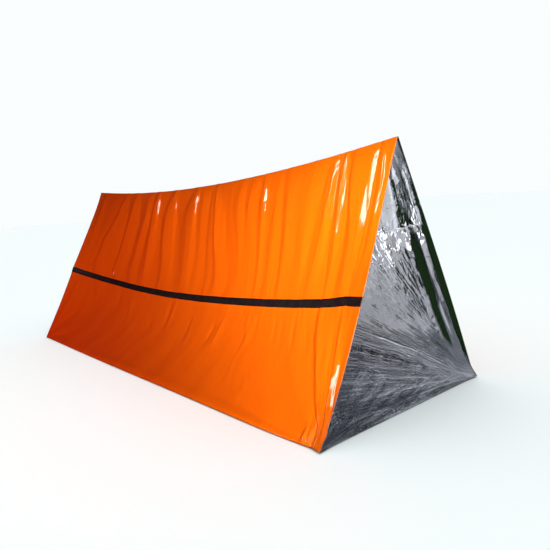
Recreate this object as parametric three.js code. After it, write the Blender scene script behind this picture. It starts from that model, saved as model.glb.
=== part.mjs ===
// An emergency tube tent as it stands pitched: one tube of coated film over a ridge line, open at both ends.
// Millimetres. +X runs along the tube to the open near end, -Y is the side with the black band, +Z is up.
// The origin is on the ground under the middle of the tent.
import * as THREE from "three";

// The tube as it is pitched.
const LENGTH = 2400;
const FILM_THICKNESS = 1.5;
const NEAR_HEIGHT = 952;
const FAR_HEIGHT = 883;
const RIDGE_SAG = 64;
const NEAR_WIDTH = 876;
const FAR_WIDTH = 936;
const SIDE_SPREAD = 14; // how far each foot of the walls bows outwards halfway along
const FOOT_BULGE = 14; // how far each foot stands out beside a near corner, which is drawn in
const FOOT_BULGE_PLACE = 200;
const RIDGE_RADIUS = 3.5;
const FOOT_RADIUS = 6;
const WALL_DROP = 1040; // nominal way down a wall from the ridge to the foot

// The walls hang inwards between the ridge and the feet. The end edges are pulled nearly straight.
const NEAR_SIDE_BELLY = { middle: 140, nearEdge: 60, farEdge: 0, run: 180, pullBack: 34 };
const FAR_SIDE_BELLY = { middle: 95, nearEdge: -10, farEdge: 10, run: 160, pullBack: 0 };
const PULL_BACK_RUN = 250;
const BELLY_TOP_POWER = 1.6; // the belly starts softly under the ridge
const BELLY_FOOT_POWER = 1.1; // and swings out more sharply to the foot

// The black band bonded along the near side: its middle, as distance from the near end and way down the wall.
const BAND_PATH = [
  [0, 556],
  [40, 549],
  [90, 545],
  [400, 555],
  [800, 566],
  [1100, 572.5],
  [1400, 575.5],
  [1700, 571.5],
  [2000, 565],
  [2400, 561],
];
const BAND_WIDTH = 34;
const BAND_THICKNESS = 1;
const BAND_GAP = 0.3;

// Levels down the film, from the ridge, at which the tables below give places. Between them the lines run
// straight, with their bends softened over LEVEL_ROUNDING to both sides.
const LEVELS = [0, 150, 300, 480, 600, 700, 800, 900, 980];
const LEVEL_ROUNDING = 25;

// Folds that the sagging ridge line draws into both walls: the lines of their crests and dips, with straight
// facets between them. places: distance from the near end at the first four levels, rises: height of the line, or
// depth where negative, at the last three of these.
const FOLD_LINES = [
  { places: [0, 0, 0, 0], rises: [0, 0, 0] },
  { places: [54, 30, 38, 60], rises: [5.5, 3, 1] },
  { places: [66, 66, 80, 102], rises: [0.3, 0.1, 0] },
  { places: [80, 94, 112, 130], rises: [6, 5, 3] },
  { places: [182, 176, 150, 156], rises: [6, 5, 4] },
  { places: [194, 190, 182, 190], rises: [-2, -3, -2] },
  { places: [222, 228, 236, 238], rises: [5, 3, 1] },
  { places: [250, 256, 266, 258], rises: [-3, -5, -2] },
  { places: [268, 282, 318, 352], rises: [4, 3, 2] },
  { places: [300, 330, 372, 385], rises: [-2, -3, -1] },
  { places: [372, 400, 410, 420], rises: [2, 1, 0] },
  { places: [430, 462, 465, 470], rises: [-1, -1, 0] },
  { places: [536, 530, 532, 534], rises: [3, 4, 3] },
  { places: [554, 556, 562, 560], rises: [-4, -4, -2] },
  { places: [590, 595, 622, 625], rises: [0, 0, 0] },
  { places: [634, 622, 648, 642], rises: [-3, -4, -3] },
  { places: [682, 682, 690, 690], rises: [6, 4, 2] },
  { places: [695, 720, 712, 708], rises: [-5, -4, -2] },
  { places: [760, 785, 760, 750], rises: [1, 0, 0] },
  { places: [800, 812, 800, 790], rises: [-3, -2, -1] },
  { places: [830, 868, 845, 835], rises: [3, 2, 1] },
  { places: [880, 900, 868, 860], rises: [-2, -2, -1] },
  { places: [1036, 968, 944, 905], rises: [-6, -6, -3] },
  { places: [1050, 1044, 1034, 995], rises: [7, 8, 5] },
  { places: [1056, 1060, 1050, 1015], rises: [0, 1, 0] },
  { places: [1070, 1084, 1092, 1078], rises: [-1, 2, 1] },
  { places: [1086, 1100, 1108, 1096], rises: [-5, -4, -3] },
  { places: [1150, 1165, 1170, 1170], rises: [2, 1, 0] },
  { places: [1190, 1192, 1200, 1215], rises: [-4, -3, -2] },
  { places: [1208, 1230, 1250, 1262], rises: [6, 5, 3] },
  { places: [1222, 1262, 1290, 1290], rises: [7, 6, 4] },
  { places: [1232, 1300, 1306, 1300], rises: [6, 6, 4] },
  { places: [1256, 1340, 1374, 1366], rises: [-4, -6, -4] },
  { places: [1412, 1404, 1406, 1420], rises: [-8, -6, -3] },
  { places: [1432, 1500, 1522, 1508], rises: [10, 10, 5] },
  { places: [1460, 1570, 1568, 1556], rises: [-8, -6, -4] },
  { places: [1585, 1580, 1598, 1640], rises: [-6, -5, -2] },
  { places: [1602, 1610, 1640, 1668], rises: [5, 1, 0] },
  { places: [1622, 1648, 1682, 1704], rises: [9, 9, 5] },
  { places: [1652, 1694, 1748, 1780], rises: [-6, -8, -4] },
  { places: [1715, 1745, 1808, 1870], rises: [4, 5, 3] },
  { places: [1838, 1822, 1872, 1925], rises: [-8, -8, -4] },
  { places: [1860, 1916, 1985, 2055], rises: [9, 8, 4] },
  { places: [1966, 1972, 2022, 2085], rises: [-8, -8, -4] },
  { places: [1990, 2082, 2196, 2256], rises: [9, 12, 6] },
  { places: [2030, 2120, 2238, 2285], rises: [-3, -4, -3] },
  { places: [2124, 2185, 2262, 2300], rises: [1, 0, 0] },
  { places: [2262, 2268, 2300, 2320], rises: [-2, -2, -1] },
  { places: [2292, 2326, 2340, 2352], rises: [4, 2, 1] },
  { places: [2320, 2348, 2362, 2372], rises: [-4, -3, -1] },
  { places: [2400, 2400, 2400, 2400], rises: [-9, -8, -5] },
];
const FOLD_LEVELS = [0, 60, 150, 300, 480, 560, 640];
const FOLD_SHARE_UNDER_RIDGE = 0.7; // the ridge itself stays even
const FOLD_SHARE_AT_BAND = 0.35;
const FAR_SIDE_SHARE = 0.8; // the far wall's folds, as a share of the near wall's
const FAR_SIDE_FADE = [200, 350]; // levels between which they run out

// Folds that run down to the near wall's two corners. middle: a line's distance from the near end at the middle
// level, places and rises: where it goes on at the last five levels, and its height there.
const CORNER_LINES = [
  { middle: 0, places: [0, 0, 0, 0, 0], rises: [0, 0, 0, 0, 0] },
  { middle: 38, places: [62, 48, 30, 10, 3], rises: [0, -1, -2, -2, -1] },
  { middle: 66, places: [84, 66, 46, 21, 7], rises: [1, 1, 3.5, 1, 0] },
  { middle: 112, places: [106, 86, 58, 34, 15], rises: [3, 5, 8, 6, 2] },
  { middle: 128, places: [124, 103, 74, 45, 22], rises: [0, -3, -4, -4, -2] },
  { middle: 150, places: [148, 124, 92, 56, 25], rises: [1, -1, -2, -1, -1] },
  { middle: 182, places: [188, 160, 116, 66, 27], rises: [3, 2, 2, 2, 0] },
  { middle: 236, places: [248, 212, 152, 86, 29], rises: [5, 6, 8, 7, 3] },
  { middle: 266, places: [270, 238, 178, 109, 38], rises: [-2, -4, -5, -4, -2] },
  { middle: 318, places: [346, 318, 256, 160, 62], rises: [-1, -1, -1, -1, 0] },
  { middle: 372, places: [388, 368, 312, 210, 90], rises: [0, 0, 1, 1, 0] },
  { middle: 410, places: [422, 408, 358, 262, 130], rises: [0, 0, -1, -1, 0] },
  { middle: 465, places: [472, 464, 430, 352, 210], rises: [0, 0, 0, 0, 0] },
  { middle: 532, places: [534, 530, 510, 460, 340], rises: [0, 0, 0, 0, 0] },
  { middle: 622, places: [622, 622, 615, 590, 510], rises: [0, 0, 0, 0, 0] },
  { middle: 690, places: [690, 690, 690, 680, 640], rises: [0, 0, 0, 0, 0] },
  { middle: 760, places: [760, 760, 760, 760, 760], rises: [0, 0, 0, 0, 0] },
  { middle: 2238, places: [2238, 2238, 2245, 2270, 2330], rises: [0, 0, 0, 0, 0] },
  { middle: 2340, places: [2338, 2345, 2354, 2366, 2388], rises: [2, 4, 5, 4, 2] },
  { middle: 2362, places: [2356, 2360, 2368, 2378, 2393], rises: [-2, -3, -3, -2, -1] },
  { middle: 2400, places: [2400, 2400, 2400, 2400, 2400], rises: [-6, -7, -7, -5, -2] },
];
const CORNER_LEVELS = [560, 600, 700, 800, 900, 980, 1030];
const FLOOR_DRIFT_REACH = 300; // how far into the floor the stations still follow the near foot's

// Pleats along the far wall's near edge, at five levels.
const PLEAT_LEVELS = [50, 330, 400, 900, 1000];
const PLEAT_LINES = [
  { places: [0, 0, 0, 0, 0], rises: [0, 0, 0, 0, 0] },
  { places: [8, 14, 17, 17, 6], rises: [-1, -2, -5, -5, -2] },
  { places: [20, 28, 44, 44, 12], rises: [0, 1, 3, 3, 1] },
  { places: [38, 46, 56, 48, 16], rises: [0, 1, 2, 3, 1] },
  { places: [58, 68, 70, 71, 26], rises: [0, 1, -5, -9, -4] },
  { places: [66, 80, 80, 80, 32], rises: [1, 2.5, -3, -5, -2] },
  { places: [78, 100, 96, 96, 40], rises: [-3, -6, 1, 1, 0] },
  { places: [90, 118, 118, 118, 54], rises: [-1, 0, 0.5, 0.5, 0] },
  { places: [130, 150, 150, 150, 80], rises: [0, 0, 0, 0, 0] },
];

// Creases that fan out from the pinned corners. start, by and end are places on the sheet:
// distance from the near end, then way down the wall, or for the floor the Y of the place.
// thin and wide: half widths at the start and the end, rise: height at its highest.
const NEAR_SIDE_CREASES = [
  { start: [2396, 1035], by: [2310, 900], end: [2200, 760], thin: 12, wide: 36, rise: -6 },
  { start: [2396, 1035], by: [2250, 940], end: [2060, 870], thin: 14, wide: 40, rise: 6 },
];
const FAR_SIDE_CREASES = [
  { start: [8, 1025], by: [210, 950], end: [500, 800], thin: 16, wide: 46, rise: 15 },
  { start: [10, 1035], by: [260, 1000], end: [760, 960], thin: 18, wide: 40, rise: -10 },
  { start: [8, 1030], by: [150, 860], end: [330, 640], thin: 16, wide: 44, rise: 8 },
  { start: [2396, 1035], by: [2290, 900], end: [2180, 740], thin: 12, wide: 40, rise: 9 },
];
const FLOOR_CREASES = [
  { start: [4, -425], by: [76, -30], end: [4, 425], thin: 15, wide: 15, rise: 12 },
  { start: [8, 425], by: [230, 330], end: [620, 170], thin: 14, wide: 40, rise: 10 },
  { start: [8, 425], by: [180, 240], end: [440, 20], thin: 16, wide: 44, rise: 8 },
  { start: [8, 425], by: [110, 190], end: [180, -110], thin: 15, wide: 34, rise: 7 },
  { start: [8, -425], by: [140, -330], end: [400, -160], thin: 14, wide: 44, rise: 8 },
  { start: [2394, -445], by: [2250, -330], end: [1980, -180], thin: 12, wide: 40, rise: 8 },
  { start: [2394, 445], by: [2230, 340], end: [1930, 220], thin: 12, wide: 40, rise: 8 },
];
const CREASE_STEPS = 12;

// How finely the solid is divided.
const STATIONS_AT_PLEATS = [10, 17, 46, 71, 96, 130];
const RIDGE_STEPS = 4;
const FOOT_STEPS = 3;
const FAR_WALL_ROWS = [0, 0.04, 0.1, 0.19, 0.3, 0.42, 0.54, 0.65, 0.75, 0.83, 0.89, 0.94, 0.975, 1];
const NEAR_WALL_ROWS_ABOVE = [0, 0.07, 0.16, 0.29, 0.43, 0.58, 0.78]; // shares of the way down to the band
const NEAR_WALL_ROWS_BELOW = [0.1, 0.24, 0.38, 0.52, 0.65, 0.77, 0.87, 0.945, 1]; // and of the way below it
const FLOOR_ROWS = [0, 0.02, 0.06, 0.13, 0.22, 0.35, 0.5, 0.65, 0.78, 0.87, 0.94, 0.98, 1];

const HALF_LENGTH = LENGTH / 2;

function mix(a, b, t) {
  return a + (b - a) * t;
}

function smooth(low, high, value) {
  const t = Math.min(1, Math.max(0, (value - low) / (high - low)));
  return t * t * (3 - 2 * t);
}

// Height of the ridge and half the width of the floor at a distance from the near end.
function sizesAt(away) {
  const along = away / LENGTH;
  const arch = 4 * along * (1 - along);
  const place = away / FOOT_BULGE_PLACE;
  return {
    height: mix(NEAR_HEIGHT, FAR_HEIGHT, along) - RIDGE_SAG * arch,
    halfWidth: mix(NEAR_WIDTH, FAR_WIDTH, along) / 2 + SIDE_SPREAD * arch + FOOT_BULGE * place * Math.exp(1 - place),
  };
}

// How far a wall hangs inwards, in its middle, at a distance from the near end.
function bellyAt(away, belly) {
  const nearShare = Math.exp(-away / belly.run);
  const farShare = Math.exp(-(LENGTH - away) / belly.run);
  return (
    belly.middle * (1 - nearShare) * (1 - farShare) + belly.nearEdge * nearShare + belly.farEdge * farShare
  );
}

// The belly's share at v of the way down: a power rise and fall whose top is 1.
function bellyShape(v) {
  const top = BELLY_TOP_POWER / (BELLY_TOP_POWER + BELLY_FOOT_POWER);
  const raw = (t) => Math.pow(t, BELLY_TOP_POWER) * Math.pow(1 - t, BELLY_FOOT_POWER);
  return raw(v) / raw(top);
}

// The value at x on straight lines between points [x, value] in order.
function onLines(x, points) {
  const next = points.findIndex((point) => point[0] >= x);
  if (next < 0) return points[points.length - 1][1];
  if (next === 0) return points[0][1];
  const [x0, value0] = points[next - 1];
  const [x1, value1] = points[next];
  return mix(value0, value1, (x - x0) / (x1 - x0));
}

// Values given at levels, at a way down the film: straight between levels, averaged over places nearby.
function betweenLevels(levels, values, down) {
  const points = levels.map((level, k) => [level, values[k]]);
  const steps = [-1, -0.5, 0, 0.5, 1];
  return steps.reduce((sum, step) => sum + onLines(Math.abs(down + step * LEVEL_ROUNDING), points), 0) / steps.length;
}

// One column of the fold table, or of the corner table, at a station given by its place at the middle level.
const MIDDLE = 2;
const foldColumn = (at, pick) => onLines(at, FOLD_LINES.map((line) => [line.places[MIDDLE], pick(line)]));
const cornerColumn = (at, pick) => onLines(at, CORNER_LINES.map((line) => [line.middle, pick(line)]));

// Distance from the near end of a station at a way down the film: it follows the folds.
function placeDown(at, down, side) {
  const upper = [0, 1, 2, 3].map((k) => foldColumn(at, (line) => line.places[k]));
  if (side > 0) return betweenLevels(LEVELS.slice(0, 3), upper.slice(0, 3), down);
  const lower = CORNER_LINES[0].places.map((_, k) => cornerColumn(at, (line) => line.places[k]));
  return betweenLevels(LEVELS, [...upper, ...lower], down);
}

function foldHeight(at, down) {
  const [high, middle, low] = [0, 1, 2].map((k) => foldColumn(at, (line) => line.rises[k]));
  const values = [0, FOLD_SHARE_UNDER_RIDGE * high, high, middle, low, FOLD_SHARE_AT_BAND * low, 0];
  return betweenLevels(FOLD_LEVELS, values, down);
}

function cornerFoldHeight(at, down) {
  const rises = CORNER_LINES[0].rises.map((_, k) => cornerColumn(at, (line) => line.rises[k]));
  return betweenLevels(CORNER_LEVELS, [0, ...rises, 0], down);
}

// Height of the pleats along the far wall's near edge.
function pleatHeight(away, down) {
  const column = (name) => PLEAT_LINES.map((line) => betweenLevels(PLEAT_LEVELS, line[name], down));
  const rises = column("rises");
  return onLines(away, column("places").map((place, k) => [place, rises[k]]));
}

// Sum of the creases at a place on a sheet. Each is a soft bump across a curved line from start through by to end.
function creaseHeight(creases, away, across) {
  let sum = 0;
  for (const crease of creases) {
    let best = Infinity;
    let bestT = 0;
    for (let k = 0; k <= CREASE_STEPS; k += 1) {
      const t = k / CREASE_STEPS;
      const before = (1 - t) * (1 - t);
      const middle = 2 * t * (1 - t);
      const gapAway = before * crease.start[0] + middle * crease.by[0] + t * t * crease.end[0] - away;
      const gapAcross = before * crease.start[1] + middle * crease.by[1] + t * t * crease.end[1] - across;
      const gap = Math.hypot(gapAway, gapAcross);
      if (gap < best) {
        best = gap;
        bestT = t;
      }
    }
    const halfWidth = mix(crease.thin, crease.wide, bestT);
    sum += crease.rise * Math.exp(-((best / halfWidth) ** 2)) * Math.min(1, 4 * (1 - bestT), 0.3 + 4 * bestT);
  }
  return sum;
}

// The stations along the tube, by their distance from the near end at the middle level: one on each fold line.
function stationsAlong() {
  const atFolds = FOLD_LINES.map((line) => line.places[MIDDLE]);
  return [...atFolds, ...STATIONS_AT_PLEATS].sort((a, b) => a - b);
}

// A point of a wall's outer face before its ends are rounded. side is -1 for the near wall and 1 for the far one.
function wallPoint(at, v, side) {
  const belly = side < 0 ? NEAR_SIDE_BELLY : FAR_SIDE_BELLY;
  const creases = side < 0 ? NEAR_SIDE_CREASES : FAR_SIDE_CREASES;
  const down = v * WALL_DROP;
  const away = placeDown(at, down, side);
  const { height, halfWidth } = sizesAt(away);
  const chord = Math.hypot(height, halfWidth);
  const shape = bellyShape(v);
  const folds =
    side < 0
      ? foldHeight(at, down) + cornerFoldHeight(at, down)
      : FAR_SIDE_SHARE * foldHeight(at, down) * (1 - smooth(...FAR_SIDE_FADE, down)) + pleatHeight(away, down);
  const outwards = -bellyAt(away, belly) * shape + folds + creaseHeight(creases, away, down);
  const back = belly.pullBack * Math.exp(-away / PULL_BACK_RUN) * shape;
  return new THREE.Vector3(
    HALF_LENGTH - away - back,
    side * (halfWidth * v + (height / chord) * outwards),
    Math.max(0, height * (1 - v) + (halfWidth / chord) * outwards),
  );
}

// A point of the floor's underside at a share of half its width, inset from both feet of the walls.
function floorPoint(at, share, inset) {
  const foot = placeDown(at, WALL_DROP, -1);
  const { halfWidth } = sizesAt(foot);
  const y = share * (halfWidth - inset);
  const away = mix(foot, at, smooth(0, FLOOR_DRIFT_REACH, y + halfWidth));
  return new THREE.Vector3(HALF_LENGTH - away, y, Math.max(0, creaseHeight(FLOOR_CREASES, away, y)));
}

// Rounds a corner of the section: an arc of the radius that touches the two legs, in steps, without its two ends.
// Also gives how far from the corner the arc touches.
function cornerArc(corner, leg1, leg2, radius, steps) {
  const a = leg1.clone().sub(corner).normalize();
  const b = leg2.clone().sub(corner).normalize();
  const half = a.angleTo(b) / 2;
  const reach = radius / Math.tan(half);
  const centre = corner.clone().addScaledVector(a.clone().add(b).normalize(), radius / Math.sin(half));
  const from = corner.clone().addScaledVector(a, reach).sub(centre);
  const to = corner.clone().addScaledVector(b, reach).sub(centre);
  const sweep = from.angleTo(to);
  const points = [];
  for (let k = 1; k < steps; k += 1) {
    const t = k / steps;
    points.push(
      from
        .clone()
        .multiplyScalar(Math.sin((1 - t) * sweep) / Math.sin(sweep))
        .addScaledVector(to, Math.sin(t * sweep) / Math.sin(sweep))
        .add(centre),
    );
  }
  return { reach, points };
}

// The way down the near wall for each row of a station, with two rows on the band's edges.
function nearRowsAt(at) {
  const middle = onLines(at, BAND_PATH);
  const bandTop = (middle - BAND_WIDTH / 2) / WALL_DROP;
  const bandFoot = (middle + BAND_WIDTH / 2) / WALL_DROP;
  return [
    ...NEAR_WALL_ROWS_ABOVE.map((share) => share * bandTop),
    bandTop,
    bandFoot,
    ...NEAR_WALL_ROWS_BELOW.map((share) => mix(bandFoot, 1, share)),
  ];
}

// One section of the outer face: down the near wall, over the floor, up the far wall and over the ridge.
function sectionAt(at) {
  const legAlong = 0.03; // share of a wall that sets its direction at a corner
  const ridge = wallPoint(at, 0, -1);
  const foot = (side) => floorPoint(at, side, 0).setZ(0);
  const inside = (side) => foot(side).setY(0);
  const near = cornerArc(foot(-1), wallPoint(at, 1 - legAlong, -1), inside(-1), FOOT_RADIUS, FOOT_STEPS);
  const far = cornerArc(foot(1), inside(1), wallPoint(at, 1 - legAlong, 1), FOOT_RADIUS, FOOT_STEPS);
  const top = cornerArc(ridge, wallPoint(at, legAlong, 1), wallPoint(at, legAlong, -1), RIDGE_RADIUS, RIDGE_STEPS);
  const trim = (rows, side, footReach) =>
    rows.map((v) => wallPoint(at, mix(top.reach / WALL_DROP, 1 - footReach / WALL_DROP, v), side));
  return [
    ...trim(nearRowsAt(at), -1, near.reach),
    ...near.points,
    ...FLOOR_ROWS.map((t) => floorPoint(at, mix(-1, 1, t), t < 0.5 ? near.reach : far.reach)),
    ...far.points,
    ...trim([...FAR_WALL_ROWS].reverse(), 1, far.reach),
    ...top.points,
  ];
}

// Outward normals of the grid's points, from their neighbours. The rows close on themselves.
function gridNormals(grid) {
  const last = grid.length - 1;
  const around = grid[0].length;
  return grid.map((section, i) =>
    section.map((point, j) => {
      const along = grid[Math.min(last, i + 1)][j].clone().sub(grid[Math.max(0, i - 1)][j]);
      const across = section[(j + 1) % around].clone().sub(section[(j + around - 1) % around]);
      return along.cross(across).normalize();
    }),
  );
}

function offsetGrid(grid, normals, distance) {
  return grid.map((section, i) => section.map((point, j) => point.clone().addScaledVector(normals[i][j], distance)));
}

// Two triangles for the four-sided patch a, b, c, d.
function patch(index, a, b, c, d) {
  index.push(a, b, c, a, c, d);
}

function meshOf(name, points, index, material) {
  const geometry = new THREE.BufferGeometry().setFromPoints(points);
  geometry.setIndex(index);
  geometry.computeVertexNormals();
  const mesh = new THREE.Mesh(geometry, material);
  mesh.name = name;
  return mesh;
}

// The film between an outer and an inner face, closed round the rims of both open ends.
function tubeShell(outer, inner) {
  const stations = outer.length;
  const around = outer[0].length;
  const points = [...outer.flat(), ...inner.flat()];
  const at = (i, j) => i * around + (j % around);
  const shift = stations * around;
  const index = [];
  for (let i = 0; i < stations - 1; i += 1)
    for (let j = 0; j < around; j += 1) {
      patch(index, at(i, j), at(i + 1, j), at(i + 1, j + 1), at(i, j + 1));
      patch(index, shift + at(i, j), shift + at(i, j + 1), shift + at(i + 1, j + 1), shift + at(i + 1, j));
    }
  for (let j = 0; j < around; j += 1) {
    patch(index, at(0, j), at(0, j + 1), shift + at(0, j + 1), shift + at(0, j));
    const end = stations - 1;
    patch(index, at(end, j), shift + at(end, j), shift + at(end, j + 1), at(end, j + 1));
  }
  return { points, index };
}

// A strip between the rows first and first + 1 of two offset grids.
function stripShell(inner, outer, first) {
  const stations = inner.length;
  const points = [];
  for (let i = 0; i < stations; i += 1)
    points.push(outer[i][first], outer[i][first + 1], inner[i][first + 1], inner[i][first]);
  const index = [];
  for (let i = 0; i < stations - 1; i += 1)
    for (let k = 0; k < 4; k += 1) {
      const corners = [4 * i + k, 4 * (i + 1) + k, 4 * (i + 1) + ((k + 1) % 4), 4 * i + ((k + 1) % 4)];
      if (k === 2) corners.push(corners.shift()); // the underside is split along the film's own diagonals
      patch(index, ...corners);
    }
  patch(index, 0, 1, 2, 3);
  const end = 4 * (stations - 1);
  patch(index, end, end + 3, end + 2, end + 1);
  return { points, index };
}

function buildTent() {
  const outer = stationsAlong().map(sectionAt);
  const normals = gridNormals(outer);
  const inner = offsetGrid(outer, normals, -FILM_THICKNESS);
  const film = tubeShell(outer, inner);
  const bandUnder = offsetGrid(outer, normals, BAND_GAP);
  const bandOver = offsetGrid(outer, normals, BAND_GAP + BAND_THICKNESS);
  const band = stripShell(bandUnder, bandOver, NEAR_WALL_ROWS_ABOVE.length);

  const tent = new THREE.Group();
  tent.add(
    meshOf(
      "tube_film",
      film.points,
      film.index,
      new THREE.MeshStandardMaterial({ color: 0xf26a05, roughness: 0.32, metalness: 0, flatShading: true }),
    ),
    meshOf(
      "side_band",
      band.points,
      band.index,
      new THREE.MeshStandardMaterial({ color: 0x141014, roughness: 0.5, metalness: 0, flatShading: true }),
    ),
  );
  return tent;
}

export default buildTent();
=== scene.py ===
import math

import bpy
import numpy as np
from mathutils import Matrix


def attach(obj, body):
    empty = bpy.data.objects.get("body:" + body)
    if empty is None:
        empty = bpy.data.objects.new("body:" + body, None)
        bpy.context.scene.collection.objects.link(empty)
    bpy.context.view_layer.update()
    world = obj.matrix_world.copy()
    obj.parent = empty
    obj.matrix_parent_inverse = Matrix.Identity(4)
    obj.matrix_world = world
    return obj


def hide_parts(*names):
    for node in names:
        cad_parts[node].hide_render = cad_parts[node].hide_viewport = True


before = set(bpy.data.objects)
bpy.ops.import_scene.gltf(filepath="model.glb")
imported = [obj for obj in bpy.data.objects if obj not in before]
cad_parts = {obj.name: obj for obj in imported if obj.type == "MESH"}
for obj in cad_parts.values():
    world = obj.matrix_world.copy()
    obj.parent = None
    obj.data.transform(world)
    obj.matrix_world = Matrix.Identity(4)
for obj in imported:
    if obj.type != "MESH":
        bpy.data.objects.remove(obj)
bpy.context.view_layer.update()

MM = 0.001

# The tube as it is pitched
LENGTH = 2.4
NEAR_HEIGHT = 0.9515
FAR_HEIGHT = 0.8825
RIDGE_SAG = 0.064
NEAR_WIDTH = 0.876
FAR_WIDTH = 0.936
SIDE_SPREAD = 0.014
FOOT_BULGE = 0.014
FOOT_BULGE_PLACE = 0.2
WALL_DROP = 1.04
FILM_THICKNESS = 0.0012
RIDGE_ROUND = 0.009

# The rounding at the foot of both walls, and the share of it by which it stands out past the wall
FOOT_ROUND = 0.022
FOOT_ROUND_AT_ENDS = 0.005
FOOT_ROUND_RUN = 0.07
FOOT_OVERHANG = 0.36

# How far the pins draw the near corners out, along and across
CORNER_PULL = (0.006, 0.014)
CORNER_PULL_REACH = 0.035

# How the walls hang inwards
NEAR_SIDE_BELLY = dict(middle=0.140, near_edge=0.060, far_edge=0.0, run=0.18, pull_back=0.034)
FAR_SIDE_BELLY = dict(middle=0.095, near_edge=-0.010, far_edge=0.010, run=0.16, pull_back=0.0)
PULL_BACK_RUN = 0.25
BELLY_TOP_POWER = 1.6
BELLY_FOOT_POWER = 1.1

# The black band on the near wall
BAND_WIDTH = 0.034
BAND_THICKNESS = 0.0008
BAND_GAP = 0.0003

# How finely the film is divided: stretches along the tube as (end, steps), and steps round it. This share of
# the near wall's steps is above its low stretch
ALONG_STRETCHES = [(0.36, 86), (LENGTH, 244)]
NEAR_WALL_STEPS = 60
FAR_WALL_STEPS = 42
LOW_STRETCH_FROM = 0.9
STEPS_ABOVE_LOW_STRETCH = 0.78
FLOOR_STEPS = 30
ROUND_STEPS = 4
BAND_STEPS = 4

# The far wall's share of the folds under the ridge, and how far down they fade
FAR_SIDE_SHARE = 0.8
FAR_SIDE_FADE = (0.2, 0.35)

# Creases: steps along each line, their share at the start, and how fast they rise from there and end
CREASE_STEPS = 16
CREASE_START_SHARE = 0.3
CREASE_END_RATE = 4

# Fine streaks rise and end as a sine to this power
STRAND_END_POWER = 0.7


def table(columns, rows):
    """A table with named columns, in millimetres, as one array in metres for each column."""
    values = np.array(rows, dtype=float) * MM
    return dict(zip(columns.split(), values.T))


# The film's divisions run along its folds' lines, given at these levels, in metres down the film
LEVELS = [0, 0.15, 0.3, 0.48, 0.6, 0.7, 0.8, 0.9, 0.98]
LEVEL_ROUNDING = 0.025
ROUNDING_PLACES = 5
FIRST_CORNER_LEVEL = 4

# Folds under the ridge: the lines of their crests and dips. Each gives its distance from the near end at the
# first four levels (top, high, middle, low) and its height or depth at the last three of these
FOLD_LINES = table("top high middle low rise_high rise_middle rise_low", [
    (0, 0, 0, 0, 0, 0, 0),
    (44, 18, 24, 40, 1.5, 2, 0.5),
    (54, 30, 38, 60, 5.5, 3, 1),
    (66, 66, 80, 102, 0.3, 0.1, 0),
    (80, 94, 112, 130, 6, 5, 3),
    (182, 176, 150, 156, 6, 5, 4),
    (194, 190, 182, 190, -2, -3, -2),
    (203, 206, 205, 210, -1.2, -2, -1.5),
    (216, 220, 222, 228, 1.8, 0.6, 0),
    (222, 228, 236, 238, 5, 3, 1),
    (250, 256, 266, 258, -3, -5, -2),
    (268, 282, 318, 352, 4, 3, 2),
    (300, 330, 372, 385, -2, -3, -1),
    (372, 400, 410, 420, 2, 1, 0),
    (430, 462, 465, 470, -1, -1, 0),
    (536, 530, 532, 534, 3, 4, 3),
    (554, 556, 562, 560, -4, -4, -2),
    (590, 595, 622, 625, 0, 0, 0),
    (634, 622, 648, 642, -3, -4, -3),
    (662, 652, 667, 663, -2.1, -3, -2.2),
    (673, 668, 680, 678, 0.6, -0.5, 0),
    (682, 682, 690, 690, 6, 4, 2),
    (695, 720, 712, 708, -5, -4, -2),
    (760, 785, 760, 750, 1, 0, 0),
    (800, 812, 800, 790, -3, -2, -1),
    (830, 868, 845, 835, 3, 2, 1),
    (880, 900, 868, 860, -2, -2, -1),
    (1036, 968, 944, 905, -6, -6, -3),
    (1050, 1044, 1034, 995, 7, 8, 5),
    (1056, 1060, 1050, 1015, 0, 1, 0),
    (1070, 1084, 1092, 1078, -1, 2, 1),
    (1086, 1100, 1108, 1096, -5, -4, -3),
    (1150, 1165, 1170, 1170, 2, 1, 0),
    (1190, 1192, 1200, 1215, -4, -3, -2),
    (1197, 1210, 1222, 1238, -1, 0, 0),
    (1208, 1230, 1250, 1262, 6, 5, 3),
    (1222, 1262, 1290, 1290, 7, 6, 4),
    (1232, 1300, 1306, 1300, 6, 6, 4),
    (1256, 1340, 1374, 1366, -4, -6, -4),
    (1412, 1404, 1406, 1420, -8, -6, -3),
    (1424, 1424, 1430, 1440, 0, -3, 0),
    (1432, 1500, 1522, 1508, 10, 10, 5),
    (1460, 1570, 1568, 1556, -8, -6, -4),
    (1585, 1580, 1598, 1640, -6, -5, -2),
    (1590, 1592, 1612, 1650, -5, -4, -2),
    (1602, 1610, 1640, 1668, 5, 1, 0),
    (1622, 1648, 1682, 1704, 9, 9, 5),
    (1652, 1694, 1748, 1780, -6, -8, -4),
    (1715, 1745, 1808, 1870, 4, 5, 3),
    (1838, 1822, 1872, 1925, -8, -8, -4),
    (1860, 1916, 1985, 2055, 9, 8, 4),
    (1966, 1972, 2022, 2085, -8, -8, -4),
    (1990, 2082, 2196, 2256, 9, 12, 6),
    (2030, 2120, 2238, 2285, -3, -4, -3),
    (2124, 2185, 2262, 2300, 1, 0, 0),
    (2262, 2268, 2300, 2320, -2, -2, -1),
    (2292, 2326, 2340, 2352, 4, 2, 1),
    (2320, 2348, 2362, 2372, -4, -3, -1),
    (2400, 2400, 2400, 2400, -9, -8, -5),
])

# The levels of their heights, and the shares of the nearest height at the second level and at the band
FOLD_LEVELS = [0, 0.06, 0.15, 0.3, 0.48, 0.56, 0.64]
FOLD_SHARE_UNDER_RIDGE = 0.7
FOLD_SHARE_AT_BAND = 0.35

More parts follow.
